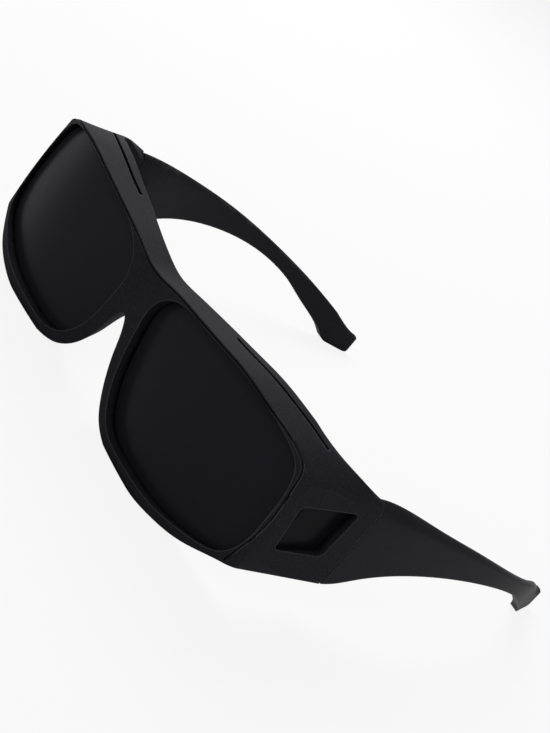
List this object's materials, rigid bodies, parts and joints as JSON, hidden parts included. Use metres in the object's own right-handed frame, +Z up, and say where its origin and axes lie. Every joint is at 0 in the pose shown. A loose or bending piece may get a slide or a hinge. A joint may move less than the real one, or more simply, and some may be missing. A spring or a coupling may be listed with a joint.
{
  "type": "fitover sunglasses",
  "caption": "Wraparound sunglasses worn over spectacles: brow shelf, side windows, curved lenses and folding temples on pinned hinges.",
  "frame": {"origin": "middle of the whole object in plan, at the height of the surface that it stands on", "axes": "+X towards the wearer's left, +Y from the lenses back along the temples, +Z up"},
  "size_m": [0.1536, 0.1601, 0.0466],
  "materials": {
    "frame": "soft-touch matte black",
    "temple": "soft-touch matte black",
    "main_lens": "dark grey tinted plastic, polished",
    "side_lens": "dark grey tinted plastic, polished",
    "hinge_metal": "brushed nickel-silver",
    "screw_metal": "turned steel"
  },
  "bodies": {
    "front": {"front_frame": "frame", "main_lens_left": "main_lens", "main_lens_right": "main_lens", "side_lens_left": "side_lens", "side_lens_right": "side_lens", "front_hinge_leaf_left": "hinge_metal", "front_hinge_leaf_right": "hinge_metal", "hinge_screw_left": "screw_metal", "hinge_screw_right": "screw_metal", "front_leaf_screws_left": "screw_metal", "front_leaf_screws_right": "screw_metal"},
    "left_temple": {"temple_left": "temple", "temple_hinge_leaf_left": "hinge_metal", "temple_leaf_screws_left": "screw_metal"},
    "right_temple": {"temple_right": "temple", "temple_hinge_leaf_right": "hinge_metal", "temple_leaf_screws_right": "screw_metal"}
  },
  "joints": [
    {"name": "temple_left_fold", "type": "hinge", "parent": "front", "child": "left_temple", "pos_m": [0.0681, -0.03938, 0.0238], "axis": [0, 0, 1], "range_deg": [0, 90]},
    {"name": "temple_right_fold", "type": "hinge", "parent": "front", "child": "right_temple", "pos_m": [-0.0681, -0.03938, 0.0238], "axis": [0, 0, -1], "range_deg": [0, 82]}
  ]
}
